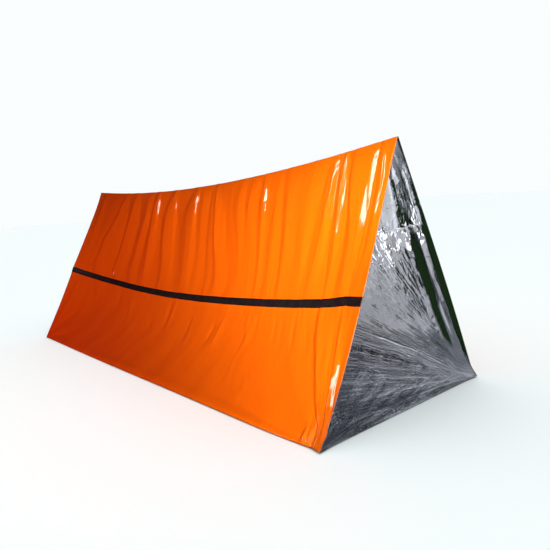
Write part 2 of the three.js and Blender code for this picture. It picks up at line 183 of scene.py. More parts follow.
# Folds that run down to the near wall's two corners. A line at the middle level goes on at these distances
# from the near end at the last five levels, and has these heights there
CORNER_LINES = table("middle at_4 at_5 at_6 at_7 at_8 rise_4 rise_5 rise_6 rise_7 rise_8", [
    (0, 0, 0, 0, 0, 0, 0, 0, 0, 0, 0),
    (38, 62, 48, 30, 10, 3, 0, -1, -2, -2, -1),
    (66, 84, 66, 46, 21, 7, 1, 1, 3.5, 1, 0),
    (112, 106, 86, 58, 34, 15, 3, 5, 8, 6, 2),
    (128, 124, 103, 74, 45, 22, 0, -3, -4, -4, -2),
    (150, 148, 124, 92, 56, 25, 1, -1, -2, -1, -1),
    (182, 188, 160, 116, 66, 27, 3, 2, 2, 2, 0),
    (236, 248, 212, 152, 86, 29, 5, 6, 8, 7, 3),
    (266, 270, 238, 178, 109, 38, -2, -4, -5, -4, -2),
    (318, 346, 318, 256, 160, 62, -1, -1, -1, -1, 0),
    (372, 388, 368, 312, 210, 90, 0, 0, 1, 1, 0),
    (410, 422, 408, 358, 262, 130, 0, 0, -1, -1, 0),
    (465, 472, 464, 430, 352, 210, 0, 0, 0, 0, 0),
    (532, 534, 530, 510, 460, 340, 0, 0, 0, 0, 0),
    (622, 622, 622, 615, 590, 510, 0, 0, 0, 0, 0),
    (690, 690, 690, 690, 680, 640, 0, 0, 0, 0, 0),
    (760, 760, 760, 760, 760, 760, 0, 0, 0, 0, 0),
    (2238, 2238, 2238, 2245, 2270, 2330, 0, 0, 0, 0, 0),
    (2340, 2338, 2345, 2354, 2366, 2388, 2, 4, 5, 4, 2),
    (2362, 2356, 2360, 2368, 2378, 2393, -2, -3, -3, -2, -1),
    (2400, 2400, 2400, 2400, 2400, 2400, -6, -7, -7, -5, -2),
])

# The levels of their heights, which are 0 at the first and the last
CORNER_LEVELS = [0.56, 0.6, 0.7, 0.8, 0.9, 0.98, 1.03]

# The floor's divisions start from the near wall's and run straight across past this width
FLOOR_DRIFT_REACH = 0.3

# Pleats along the far wall's near edge: lines with a distance from that edge and a height at five levels
PLEAT_LEVELS = [0.05, 0.33, 0.4, 0.95, 1.0]
PLEAT_LINES = table("at_0 at_1 at_2 at_3 at_4 rise_0 rise_1 rise_2 rise_3 rise_4", [
    (0, 0, 0, 0, 0, 0, 0, 0, 0, 0),
    (8, 14, 17, 17, 6, -1, -2, -5, -5, -2),
    (20, 28, 44, 44, 12, 0, 1, 3, 3, 1),
    (38, 46, 56, 48, 16, 0, 1, 2, 3, 1),
    (58, 68, 70, 71, 26, 0, 1, -5, -9, -4),
    (66, 80, 80, 80, 32, 1, 2.5, -3, -5, -2),
    (78, 100, 96, 96, 40, -3, -6, 1, 1, 0),
    (90, 118, 118, 118, 54, -1, 0, 0.5, 0.5, 0),
    (130, 150, 150, 150, 80, 0, 0, 0, 0, 0),
])

# Middle of the band, down the film from the ridge
BAND_PATH = table("at down", [
    (0, 556), (40, 549), (90, 545), (400, 555), (800, 566),
    (1100, 572.5), (1400, 575.5), (1700, 571.5), (2000, 565), (2400, 561),
])

# Creases at the pinned corners and across the divisions: each curves from its start towards its by point and
# ends at its end, given as the distance from the near end and the way down the wall (on the floor, Y). Its
# width goes from thin to wide
CREASE_COLUMNS = "start_away start_across by_away by_across end_away end_across thin wide rise"
NEAR_SIDE_CREASES = table(CREASE_COLUMNS, [
    (10, 1036, 230, 1000, 640, 984, 8, 18, -5),
    (60, 1038, 300, 1018, 900, 1010, 8, 18, 3),
    (300, 1010, 1200, 1002, 2380, 1018, 18, 24, 5),
    (1800, 640, 1740, 700, 1690, 800, 14, 14, -4.5),
    (1780, 630, 1715, 710, 1668, 800, 16, 18, 6),
    (1292, 575, 1287, 690, 1262, 775, 10, 12, 5),
    (1330, 620, 1322, 690, 1298, 775, 12, 14, -4.5),
    (1085, 690, 1070, 760, 1046, 815, 10, 12, 4.5),
    (1104, 690, 1096, 750, 1080, 810, 12, 12, -4),
    (850, 660, 852, 720, 848, 800, 10, 12, 4),
    (900, 690, 905, 750, 925, 810, 12, 14, -4.5),
    (690, 620, 672, 680, 648, 720, 10, 10, 4),
    (655, 700, 648, 740, 645, 800, 10, 10, 4),
    (625, 620, 615, 700, 598, 760, 12, 12, -4),
    (508, 620, 492, 690, 466, 770, 10, 10, -3),
    (462, 630, 450, 680, 424, 740, 9, 9, -3),
    (392, 600, 380, 680, 340, 760, 10, 12, -3),
    (2165, 600, 2150, 640, 2128, 700, 10, 12, 4.5),
    (2215, 600, 2195, 660, 2160, 720, 10, 12, -4),
    (1905, 620, 1880, 700, 1852, 770, 16, 18, -4.5),
    (2075, 845, 2020, 880, 1950, 905, 9, 10, 4),
    (2040, 820, 1990, 850, 1930, 870, 9, 10, 3),
    (1720, 810, 1660, 835, 1596, 865, 9, 11, 4),
    (1560, 800, 1500, 860, 1430, 890, 9, 12, -3),
    (1480, 690, 1440, 770, 1400, 830, 14, 16, -4),
    (2396, 1035, 2310, 900, 2200, 760, 12, 36, -6),
    (2396, 1035, 2250, 940, 2060, 870, 14, 40, 6),
    (2396, 1036, 2300, 1000, 2150, 975, 10, 30, -5),
])
FAR_SIDE_CREASES = table(CREASE_COLUMNS, [
    (8, 1025, 210, 950, 500, 800, 16, 46, 15),
    (10, 1035, 260, 1000, 760, 960, 18, 40, -10),
    (8, 1030, 150, 860, 330, 640, 16, 44, 8),
    (2396, 1035, 2290, 900, 2180, 740, 12, 40, 9),
    (95, 940, 118, 968, 133, 1004, 28, 28, 5),
    (238, 962, 330, 950, 428, 968, 30, 32, 7),
])
FLOOR_CREASES = table(CREASE_COLUMNS, [
    (4, -425, 76, -30, 4, 425, 15, 15, 12),
    (8, 425, 230, 330, 620, 170, 14, 40, 10),
    (130, 30, 80, 150, 36, 290, 10, 12, 5),
    (8, 425, 180, 240, 440, 20, 16, 44, 8),
    (8, 425, 110, 190, 180, -110, 15, 34, 7),
    (8, -425, 140, -330, 400, -160, 14, 44, 8),
    (2394, -445, 2250, -330, 1980, -180, 12, 40, 8),
    (2394, 445, 2230, 340, 1930, 220, 12, 40, 8),
])


def mix(a, b, t):
    """a at t = 0 and b at t = 1, in a straight line."""
    return a + (b - a) * t


def smooth(low, high, value):
    """0 below low, 1 above high, and between them 3 t squared - 2 t cubed."""
    t = np.clip((value - low) / (high - low), 0, 1)
    return t * t * (3 - 2 * t)


def sizes_at(away):
    """Ridge height and half the floor's width: straight from end to end, with a parabola for the ridge's sag
    and the sides' spread, and a bump t e^(1 - t) beside the near corners."""
    along = away / LENGTH
    arch = 4 * along * (1 - along)
    place = away / FOOT_BULGE_PLACE
    height = mix(NEAR_HEIGHT, FAR_HEIGHT, along) - RIDGE_SAG * arch
    bulge = FOOT_BULGE * place * np.exp(1 - place)
    return height, mix(NEAR_WIDTH, FAR_WIDTH, along) / 2 + SIDE_SPREAD * arch + bulge


def foot_round_at(at):
    """How far the foot's rounding reaches: it falls off exponentially to a smaller value at both ends."""
    ends = np.exp(-at / FOOT_ROUND_RUN) + np.exp(-(LENGTH - at) / FOOT_ROUND_RUN)
    return mix(FOOT_ROUND, FOOT_ROUND_AT_ENDS, ends)


def belly_at(away, belly):
    """How far a wall hangs inwards: its middle value, changing exponentially to those at both edges."""
    near_share = np.exp(-away / belly["run"])
    far_share = np.exp(-(LENGTH - away) / belly["run"])
    middle = belly["middle"] * (1 - near_share) * (1 - far_share)
    return middle + belly["near_edge"] * near_share + belly["far_edge"] * far_share


def belly_shape(v):
    """Share of the belly at v of the way down: v to one power times 1 - v to another, at most 1."""
    top = BELLY_TOP_POWER / (BELLY_TOP_POWER + BELLY_FOOT_POWER)
    highest = top**BELLY_TOP_POWER * (1 - top) ** BELLY_FOOT_POWER
    return v**BELLY_TOP_POWER * (1 - v) ** BELLY_FOOT_POWER / highest


def between_levels(levels, values, down):
    """Values given at levels down the film, straight between them, and averaged over a few places so that
    lines bend softly."""
    steps = np.linspace(-1, 1, ROUNDING_PLACES) * LEVEL_ROUNDING
    total = 0
    for k, value in enumerate(values):
        peak = np.arange(len(levels)) == k
        shares = sum(np.interp(np.abs(down + step), levels, peak) for step in steps)
        total = total + value * shares / len(steps)
    return total


def corner_values(column, at):
    """One kind of value of the corner folds at each of their levels, for a division of the film."""
    levels = range(FIRST_CORNER_LEVEL, len(LEVELS))
    return [np.interp(at, CORNER_LINES["middle"], CORNER_LINES[column % k]) for k in levels]


def line_places(at, down, side):
    """Distance from the near end, at a way down the film, of the division that is at this distance at the
    middle level. It follows the folds, on the far wall only under the ridge."""
    middle = FOLD_LINES["middle"]
    top, high, low = (np.interp(at, middle, FOLD_LINES[name]) for name in ("top", "high", "low"))
    if side > 0:
        return between_levels(LEVELS[:3], [top, high, at], down)
    return between_levels(LEVELS, [top, high, at, low, *corner_values("at_%d", at)], down)


def fold_height(at, down):
    """Height of the folds under the ridge, in straight facets from crest to dip: nothing at the ridge, a
    remainder at the band and nothing below it."""
    middle = FOLD_LINES["middle"]
    names = ("rise_high", "rise_middle", "rise_low")
    high, mid, low = (np.interp(at, middle, FOLD_LINES[name]) for name in names)
    values = [0, FOLD_SHARE_UNDER_RIDGE * high, high, mid, low, FOLD_SHARE_AT_BAND * low, 0]
    return between_levels(FOLD_LEVELS, values, down)


def corner_fold_height(at, down):
    """Height of the folds that run down to the near wall's corners, in the same straight facets."""
    return between_levels(CORNER_LEVELS, [0, *corner_values("rise_%d", at), 0], down)


def pleat_height(away, down):
    """Height of the pleats along the far wall's near edge, in straight facets between their lines."""
    count = range(len(PLEAT_LEVELS))
    total = 0
    before = 0
    for k in range(len(PLEAT_LINES["at_0"])):
        place = between_levels(PLEAT_LEVELS, [PLEAT_LINES["at_%d" % n][k] for n in count], down)
        rise = between_levels(PLEAT_LEVELS, [PLEAT_LINES["rise_%d" % n][k] for n in count], down)
        if k > 0:
            share = np.clip((away - before[0]) / (place - before[0]), 0, 1)
            total = total + (rise - before[1]) * share
        before = (place, rise)
    return total


def crease_height(creases, away, across):
    """Sum of creases: each is a ridge e^(1 - sqrt(1 + (2 g / w) squared)) over the gap g to a curved line of
    width w, fading at the line's ends."""
    total = np.zeros(np.broadcast(away, across).shape)
    steps = np.linspace(0, 1, CREASE_STEPS + 1)
    for k in range(len(creases["rise"])):
        row = {name: column[k] for name, column in creases.items()}
        line = [
            (1 - steps) ** 2 * row["start_" + axis]
            + 2 * steps * (1 - steps) * row["by_" + axis]
            + steps**2 * row["end_" + axis]
            for axis in ("away", "across")
        ]
        best = np.full(total.shape, np.inf)
        along = np.zeros(total.shape)
        for i in range(CREASE_STEPS):
            go_away = line[0][i + 1] - line[0][i]
            go_across = line[1][i + 1] - line[1][i]
            to_away = away - line[0][i]
            to_across = across - line[1][i]
            share = (to_away * go_away + to_across * go_across) / (go_away**2 + go_across**2)
            share = np.clip(share, 0, 1)
            gap = np.hypot(to_away - share * go_away, to_across - share * go_across)
            along = np.where(gap < best, (i + share) / CREASE_STEPS, along)
            best = np.minimum(best, gap)
        width = mix(row["thin"], row["wide"], along)
        ridge = np.exp(1 - np.sqrt(1 + (2 * best / width) ** 2))
        start = CREASE_START_SHARE + CREASE_END_RATE * along
        end = CREASE_END_RATE * (1 - along)
        total += row["rise"] * ridge * np.clip(np.minimum(end, start), 0, 1)
    return total


def strand_height(strands, at, down):
    """Sum of fine streaks: each is a bell across a line that drifts by its slope from start to end."""
    total = np.zeros(np.broadcast(at, down).shape)
    for at_0, start, end, slope, width, rise in strands:
        across = (at - at_0 - slope * (down - start)) / width
        inside = np.clip((down - start) / (end - start), 0, 1)
        total += rise * np.exp(-(across**2)) * np.sin(math.pi * inside) ** STRAND_END_POWER
    return total


def random_strands(seed, count, at, start, length, slope, width, rise):
    """Rows for strand_height, drawn evenly from each range, with rises of both signs."""
    rng = np.random.default_rng(seed)
    first = rng.uniform(*start, count)
    signs = rng.choice([-1, 1], count)
    return np.column_stack(
        [
            rng.uniform(*at, count),
            first,
            first + rng.uniform(*length, count),
            rng.uniform(*slope, count),
            rng.uniform(*width, count),
            rng.uniform(*rise, count) * signs,
        ]
    )


# Fine streaks down the film: under the ridge, below the band, in the near corner and on the far wall
UPPER_STRANDS = random_strands(
    seed=11, count=110, at=(0.02, 2.38), start=(0, 0.2), length=(0.12, 0.42),
    slope=(-0.04, 0.06), width=(0.006, 0.016), rise=(0.0004, 0.0014),
)
LOWER_STRANDS = random_strands(
    seed=12, count=90, at=(0.05, 2.35), start=(0.56, 0.9), length=(0.08, 0.25),
    slope=(-0.5, 0.1), width=(0.006, 0.015), rise=(0.0006, 0.0020),
)
CORNER_STRANDS = random_strands(
    seed=14, count=14, at=(0.0, 0.09), start=(0.92, 0.99), length=(0.05, 0.1),
    slope=(-0.6, 0.0), width=(0.006, 0.011), rise=(0.002, 0.005),
)
FAR_WALL_STRANDS = random_strands(
    seed=13, count=140, at=(0.02, 1.4), start=(0.02, 0.8), length=(0.08, 0.4),
    slope=(-0.15, 0.3), width=(0.006, 0.016), rise=(0.0008, 0.0026),
)


def wall_point(at, v, side):
    """A point of a wall's outer face, side -1 near and 1 far, at a division of the film: on a straight line
    from ridge to foot, moved along its normal by the belly, the folds, the creases and the streaks."""
    belly = NEAR_SIDE_BELLY if side < 0 else FAR_SIDE_BELLY
    creases = NEAR_SIDE_CREASES if side < 0 else FAR_SIDE_CREASES
    down = v * WALL_DROP
    away = line_places(at, down, side)
    height, half_width = sizes_at(away)
    chord = np.hypot(height, half_width)
    shape = belly_shape(v)
    outwards = -belly_at(away, belly) * shape + crease_height(creases, away, down)
    if side < 0:
        outwards = outwards + fold_height(at, down) + corner_fold_height(at, down)
        for strands in (UPPER_STRANDS, LOWER_STRANDS, CORNER_STRANDS):
            outwards = outwards + strand_height(strands, away, down)
    else:
        folds = fold_height(at, down) * (1 - smooth(*FAR_SIDE_FADE, down))
        outwards = outwards + FAR_SIDE_SHARE * folds + pleat_height(away, down)
        outwards = outwards + strand_height(FAR_WALL_STRANDS, away, down)
    back = belly["pull_back"] * np.exp(-away / PULL_BACK_RUN) * shape
    x = LENGTH / 2 - away - back
    y = side * (half_width * v + height / chord * outwards)
    z = np.maximum(0, height * (1 - v) + half_width / chord * outwards)
    return np.stack(np.broadcast_arrays(x, y, z), axis=-1)


def floor_point(at, share):
    """The floor's underside at a share of half its width: level, lifted only by its creases. Its divisions
    start from those of the near wall's foot."""
    foot = line_places(at, WALL_DROP, -1)
    half_width = sizes_at(foot)[1]
    y = share * (half_width - foot_round_at(at))
    away = mix(foot, at, smooth(0, FLOOR_DRIFT_REACH, y + half_width))
    lift = np.maximum(0, crease_height(FLOOR_CREASES, away, y))
    return np.stack(np.broadcast_arrays(LENGTH / 2 - away, y, lift), axis=-1)


def rounded(first, corner, last):
    """Points on the curve (1-t)^2 first + 2t(1-t) corner + t^2 last, without its ends."""
    t = np.linspace(0, 1, ROUND_STEPS + 1)[1:-1][None, :, None]
    return (1 - t) ** 2 * first[:, None] + 2 * t * (1 - t) * corner[:, None] + t**2 * last[:, None]


def stretches_along():
    """The divisions along the tube, evenly spaced in each stretch."""
    places = [np.zeros(1)]
    for end, steps in ALONG_STRETCHES:
        places.append(np.linspace(places[-1][-1], end, steps + 1)[1:])
    return np.concatenate(places)


def pinned_out(face):
    """The grid with its near corners drawn out to their pins, by pull times e^(-(gap / reach) squared)."""
    for side in (-1, 1):
        corner = np.array([LENGTH / 2, side * NEAR_WIDTH / 2, 0])
        gap = np.linalg.norm(face - corner, axis=-1, keepdims=True)
        pull = np.array([CORNER_PULL[0], side * CORNER_PULL[1], 0])
        face = face + pull * np.exp(-((gap / CORNER_PULL_REACH) ** 2))
    return face


def film_face():
    """The outer face as a grid: a row for each division along the tube, and columns down the near wall, over
    the floor, up the far wall and over the ridge. Also gives how far each row is from the near end, and how
    far each column is round the film."""
    at = stretches_along()[:, None]
    top_inset = RIDGE_ROUND / WALL_DROP
    foot_round = foot_round_at(at)
    foot = 1 - foot_round / WALL_DROP
    steps = np.linspace(0, 1, NEAR_WALL_STEPS + 1)
    share = np.interp(steps, [0, STEPS_ABOVE_LOW_STRETCH, 1], [0, LOW_STRETCH_FROM, 1])
    near = wall_point(at, mix(top_inset, foot, share[None, :]), -1)
    far = wall_point(at, mix(foot, top_inset, np.linspace(0, 1, FAR_WALL_STEPS + 1)[None, :]), 1)
    floor = floor_point(at, np.linspace(-1, 1, FLOOR_STEPS + 1)[None, :])
    outwards = foot_round * (1 + FOOT_OVERHANG) * np.array([[0, 1, 0]])
    ridge = wall_point(at, np.zeros((1, 1)), -1)[:, 0]
    parts = [
        near,
        rounded(near[:, -1], floor[:, 0] - outwards, floor[:, 0]),
        floor,
        rounded(floor[:, -1], floor[:, -1] + outwards, far[:, 0]),
        far,
        rounded(far[:, -1], ridge, near[:, 0]),
    ]
    face = pinned_out(np.concatenate(parts, axis=1))
    widths = np.linalg.norm(np.diff(face[len(face) // 2], axis=0), axis=1)
    return face, at[:, 0], np.concatenate([[0], np.cumsum(widths)])


def face_normals(face, closed):
    """Outward normals from the differences to the neighbours along and round the grid."""
    along = np.gradient(face, axis=0)
    if closed:
        across = np.roll(face, -1, axis=1) - np.roll(face, 1, axis=1)
    else:
        across = np.gradient(face, axis=1)
    normals = np.cross(along, across)
    return normals / np.linalg.norm(normals, axis=-1, keepdims=True)


def grid_quads(rows, columns, shift, closed, turned):
    """Four corners of each patch of a grid, wound the other way where turned, but split along the same
    diagonal."""
    i = np.arange(rows - 1)[:, None]
    j = np.arange(columns if closed else columns - 1)[None, :]
    after = (j + 1) % columns
    row = i * columns
    next_row = (i + 1) * columns
    corners = np.broadcast_arrays(row + j, next_row + j, next_row + after, row + after)
    quads = np.stack(corners, axis=-1).reshape(-1, 4) + shift
    return np.roll(quads[:, ::-1], 1, axis=1) if turned else quads


def make_piece(name, points, quads, slots, uv, finishes):
    """A mesh piece from points and four-cornered faces, with a finish number for each face and a place on
    the film for each of its corners."""
    mesh = bpy.data.meshes.new(name)
    mesh.from_pydata(points.tolist(), [], quads.tolist())
    layer = mesh.uv_layers.new(name="film")
    layer.data.foreach_set("uv", uv.reshape(-1).astype(np.float32))
    mesh.polygons.foreach_set("material_index", slots.astype(np.int32))
    mesh.polygons.foreach_set("use_smooth", np.ones(len(quads), dtype=bool))
    for finish in finishes:
        mesh.materials.append(finish)
    mesh.validate()
    mesh.update()
    piece = bpy.data.objects.new(name, mesh)
    bpy.context.scene.collection.objects.link(piece)
    return piece


def make_film(face, at, around, finishes):
    """The film: the outer face, an inner face one thickness inside it, and a rim round each open end."""
    rows, columns = face.shape[:2]
    inner = face - face_normals(face, True) * FILM_THICKNESS
    points = np.concatenate([face.reshape(-1, 3), inner.reshape(-1, 3)])
    count = rows * columns
    outside = grid_quads(rows, columns, 0, True, False)
    inside = grid_quads(rows, columns, count, True, True)
    j = np.arange(columns)
    after = (j + 1) % columns
    near_rim = np.column_stack([j, after, after + count, j + count])
    last = (rows - 1) * columns
    far_rim = np.column_stack([j + last, j + last + count, after + last + count, after + last])
    quads = np.concatenate([outside, inside, near_rim, far_rim])
    slots = np.concatenate([np.zeros(len(outside)), np.ones(len(inside) + 2 * columns)])
    place = quads % count
    u = at[place // columns]
    v = around[place % columns]
    wraps = (v.max(axis=1) - v.min(axis=1)) > around[-1] / 2
    v = np.where(wraps[:, None] & (v < around[-1] / 2), v + around[-1] + RIDGE_ROUND / 2, v)
    return make_piece("film", points, quads, slots, np.stack([u, v], axis=-1), finishes)


def make_band(at, finish):
    """The band: a strip of the near wall's face, lifted off it and closed into a thin ribbon."""
    middle = np.interp(at, BAND_PATH["at"], BAND_PATH["down"])
    across = np.linspace(-0.5, 0.5, BAND_STEPS + 1) * BAND_WIDTH
    strip = wall_point(at[:, None], (middle[:, None] + across) / WALL_DROP, -1)
    normals = face_normals(strip, False)
    under = strip + normals * BAND_GAP
    over = strip + normals * (BAND_GAP + BAND_THICKNESS)
    ring = np.concatenate([over, under[:, ::-1]], axis=1)
    rows, columns = ring.shape[:2]
    sides = grid_quads(rows, columns, 0, True, False)
    half = np.arange(BAND_STEPS)
    near_end = np.column_stack([half, half + 1, columns - 2 - half, columns - 1 - half])
    far_end = (near_end + (rows - 1) * columns)[:, ::-1]
    quads = np.concatenate([sides, near_end, far_end])
    across = np.concatenate([across, across[::-1]])
    uv = np.stack([at[quads // columns], across[quads % columns]], axis=-1)
    return make_piece("band", ring.reshape(-1, 3), quads, np.zeros(len(quads)), uv, [finish])


class Socket:
    """A number in a node tree. + - * and ** on it add Math nodes."""

    def __init__(self, nodes, socket):
        self.nodes = nodes
        self.socket = socket

    def __add__(self, other):
        return self.nodes.math("ADD", self, other)

    def __radd__(self, other):
        return self.nodes.math("ADD", other, self)

    def __sub__(self, other):
        return self.nodes.math("SUBTRACT", self, other)

    def __rsub__(self, other):
        return self.nodes.math("SUBTRACT", other, self)

    def __mul__(self, other):
        return self.nodes.math("MULTIPLY", self, other)

    def __rmul__(self, other):
        return self.nodes.math("MULTIPLY", other, self)

    def __pow__(self, other):
        return self.nodes.math("POWER", self, other)

    def between(self, low, high):
        """0 below low, 1 above high, smooth between them. Low may be the larger one."""
        sockets = {"Value": self, "From Min": low, "From Max": high}
        return self.nodes.node("ShaderNodeMapRange", dict(interpolation_type="SMOOTHSTEP"), sockets)


class Nodes:
    """The nodes of one material or of the world."""

    def __init__(self, tree):
        self.tree = tree

    def put(self, socket, value):
        if isinstance(value, Socket):
            self.tree.links.new(value.socket, socket)
        else:
            socket.default_value = value

    def node(self, kind, settings=None, sockets=None, out=0):
        """Adds a node: its settings first, then its sockets."""
        node = self.tree.nodes.new(kind)
        for key, value in (settings or {}).items():
            setattr(node, key, value)
        for key, value in (sockets or {}).items():
            self.put(node.inputs[key], value)
        return Socket(self, node.outputs[out])

    def math(self, operation, *values):
        return self.node("ShaderNodeMath", dict(operation=operation), dict(enumerate(values)))

    def part_of(self, vector, which):
        """X, Y or Z of a vector."""
        return self.node("ShaderNodeSeparateXYZ", sockets={0: vector}, out=which)

    def ramp(self, factor, stops):
        """The colour at a factor on a ramp of (place, colour) stops."""
        colour = self.node("ShaderNodeValToRGB", sockets={"Fac": factor})
        elements = colour.socket.node.color_ramp.elements
        while len(elements) < len(stops):
            elements.new(0.5)
        for element, (place, stop_colour) in zip(elements, stops):
            element.position = place
            element.color = (*stop_colour, 1)
        return colour

    def mixed(self, factor, first, second, blend="MIX"):
        """The first colour at a factor of 0 and the second at 1."""
        settings = dict(data_type="RGBA", blend_type=blend)
        return self.node("ShaderNodeMix", settings, {"Factor": factor, 6: first, 7: second}, out=2)


class Finish(Nodes):
    """One procedural material on a Principled shader."""

    def __init__(self, name, **constants):
        self.material = bpy.data.materials.new(name)
        self.material.use_nodes = True
        super().__init__(self.material.node_tree)
        self.shader = self.tree.nodes["Principled BSDF"]
        for socket, value in constants.items():
            self.feed(socket.replace("_", " ").title().replace("Ior", "IOR"), value)

    def feed(self, name, value):
        self.put(self.shader.inputs[name], value)

    def film_place(self, stretch_along=1.0, stretch_around=1.0, turn=0.0):
        """The place on the film, stretched and turned."""
        place = self.node("ShaderNodeUVMap", dict(uv_map="film"))
        sockets = {"Vector": place, "Scale": (stretch_along, stretch_around, 1), "Rotation": (0, 0, turn)}
        return self.node("ShaderNodeMapping", sockets=sockets)

    def noise(self, place, scale, detail=2.0, roughness=0.5, distortion=0.0):
        sockets = {"Vector": place, "Scale": scale, "Detail": detail}
        sockets.update({"Roughness": roughness, "Distortion": distortion})
        return self.node("ShaderNodeTexNoise", dict(noise_dimensions="2D"), sockets)

    def pair(self, first, second):
        return self.node("ShaderNodeCombineXYZ", sockets={0: first, 1: second})

    def shifted(self, place, first, second, reach):
        """A place moved by two numbers times a reach."""
        sockets = {0: self.pair(first, second), 1: (reach, reach, 0), 2: place}
        return self.node("ShaderNodeVectorMath", dict(operation="MULTIPLY_ADD"), sockets)

    def cells(self, place, scale):
        """One random vector for each of many irregular cells."""
        settings = dict(voronoi_dimensions="2D", feature="F1")
        return self.node("ShaderNodeTexVoronoi", settings, {"Vector": place, "Scale": scale}, out=1)

    def tilted(self, normal, cells, amount):
        """The normal turned a little one way in each cell: normal + amount (cell - 1/2)."""
        lean = self.node("ShaderNodeVectorMath", dict(operation="SUBTRACT"), {0: cells, 1: (0.5, 0.5, 0.5)})
        lean = self.node("ShaderNodeVectorMath", dict(operation="SCALE"), {0: lean, "Scale": amount})
        turned = self.node("ShaderNodeVectorMath", dict(operation="ADD"), {0: lean, 1: normal})
        return self.node("ShaderNodeVectorMath", dict(operation="NORMALIZE"), {0: turned})

    def folds(self, noise):
        """Sharp ridges where a noise crosses its middle: 1 - |2 n - 1|."""
        return 1 - self.math("ABSOLUTE", noise * 2 - 1)

    def fan(self, along, aside, density, reach):
        """Creases that run out from a corner: ridges of a noise in the angle round it, less their mean,
        growing with the distance and gone at the reach."""
        away = along + FAN_SETBACK
        angle = self.math("ARCTAN2", aside, away)
        distance = (away * away + aside * aside) ** 0.5
        place = self.pair(angle * density, distance * FAN_CHANGE)
        rays = self.folds(self.noise(place, scale=1, detail=3, roughness=0.65)) - FOLDS_MEAN
        return rays * distance * (1 - distance.between(FAN_FADE_FROM * reach, reach))

    def bump(self, height, distance, strength=1.0, under=None):
        sockets = {"Height": height, "Distance": distance, "Strength": strength}
        if under is not None:
            sockets["Normal"] = under
        return self.node("ShaderNodeBump", sockets=sockets)


# A fan of creases starts this far outside its corner, changes this much in each metre outwards, and fades
# from this share of its reach on. The ridges of a noise have this mean
FAN_SETBACK = 0.012
FAN_CHANGE = 1.5
FAN_FADE_FROM = 0.3
FOLDS_MEAN = 0.75

# The feet of the walls as shares of the way round the film
NEAR_FOOT_SHARE = 0.352
FAR_FOOT_SHARE = 0.648

# The square in which the film was packed, and the width of its faint lines
PACKED_SQUARE = 0.125
PACKED_LINE = 0.004

# Fans of creases in the silver side: where they start as a share of the way round, changes for each radian,
# how far they reach, and their height for each metre from the corner
FANS = [(NEAR_FOOT_SHARE, 9, 1.1, 0.10), (FAR_FOOT_SHARE, 11, 1.3, 0.12), (1.0, 13, 0.9, 0.045)]

# Crumples of the silver side: cells for each metre and how far they lean, the least share of that (off the
# far wall and on the pleated strips), and what parts of the far wall add
CRUMPLES = [(34, 0.20), (85, 0.14)]
CRUMPLE_LEAST = 0.25
CRUMPLE_IN_MIDDLE = 0.2
CRUMPLE_IN_BURST = 1.6
CRUMPLE_IN_JAGGED = 1.4
CRUMPLE_HIGH_UP = 0.8

# Where parts of the silver side fade into each other, in metres along the tube from the near end
PAST_EDGE_STRIPS = (0.07, 0.12)
PAST_BURST = (0.08, 0.26)
JAGGED_STARTS = (0.066, 0.073)
JAGGED_ENDS = (0.09, 0.1)
# The painted lighter strip along the floor's near edge fades into the painted floor shade over this stretch
PAST_PAINTED_LIGHT_EDGE = (0.015, 0.05)

# Down the far wall from the ridge
UPPER_ENDS = (0.25, 0.35)
STRIPS_START = (0.25, 0.4)
BURST_STARTS = (0.27, 0.32)
BURST_ENDS = (0.36, 0.42)
MIDDLE_STARTS = (0.36, 0.46)
JAGGED_BELOW = (0.36, 0.4)

# Round the film from the foot of a wall
FAR_WALL_STARTS = (-0.01, 0.05)
FLOOR_STARTS = (-0.03, 0.03)
LOW_PART_STARTS = (0.3, 0.1)

# How strongly creases and fine lines show: in full, but less in these parts, and creases more on the floor
CREASES_ON_STRIPS = 0.1
CREASES_HIGH_UP = 0.08
CREASES_MORE_ON_FLOOR = 4
LINES_ON_FLOOR = 0.2
LINES_HIGH_UP = 0.5

# The foil's colour, a darker colour painted on the floor as shade and dark reflections, and that painted
# shade's
# share: by the near wall, less by the far one, more for each metre of crease height as painted shade in the
# creases, and this part of it along the near edge, where the floor is painted lighter
SILVER = (0.80, 0.81, 0.84, 1)
SILVER_PAINTED_SHADE = (0.28, 0.29, 0.33, 1)
FLOOR_PAINTED_SHADE = 0.7
PAINTED_SHADE_LESS_FAR = 0.9
PAINTED_SHADE_IN_CREASES = 8
PAINTED_SHADE_AT_EDGE = 0.35

# Colours as (noise, colour), and the roughness where a noise is 0 and where it is 1
ORANGE_TONES = [(0.3, (0.85, 0.140, 0.002)), (0.7, (0.90, 0.156, 0.002))]
BLACK_TONES = [(0.3, (0.004, 0.003, 0.004)), (0.7, (0.012, 0.008, 0.008))]
ORANGE_ROUGHNESS = (0.36, 0.52)
SILVER_ROUGHNESS = (0.05, 0.15)
BLACK_ROUGHNESS = (0.45, 0.65)


def orange_coating(around):
    """Glossy orange coating: stretch lines along the gathers, small crinkles, and a fan of creases from the
    near wall's pinned corner."""
    coat = dict(coat_weight=0.5, coat_roughness=0.05)
    finish = Finish("orange_coating", roughness=0.5, specular_ior_level=0.0, **coat)
    place = finish.film_place()
    lengthwise = finish.film_place(stretch_around=0.12)
    finish.feed("Base Color", finish.ramp(finish.noise(lengthwise, scale=9), ORANGE_TONES))
    finish.feed("Roughness", mix(*ORANGE_ROUGHNESS, finish.noise(place, scale=24, detail=3)))
    above_foot = finish.part_of(place, 1) - NEAR_FOOT_SHARE * around[-1]
    corner_creases = finish.fan(finish.part_of(place, 0), above_foot, density=14, reach=0.35)
    crinkle = finish.folds(finish.noise(place, scale=38, detail=4, roughness=0.62, distortion=0.4))
    grain = finish.noise(place, scale=120)
    stretch_lines = finish.noise(lengthwise, scale=55, detail=3, roughness=0.6)
    normal = finish.bump(corner_creases, distance=0.05)
    normal = finish.bump(crinkle, distance=0.0009, strength=0.7, under=normal)
    normal = finish.bump(grain, distance=0.0004, strength=0.6, under=normal)
    finish.feed("Normal", finish.bump(stretch_lines, distance=0.003, strength=0.9, under=normal))
    return finish.material


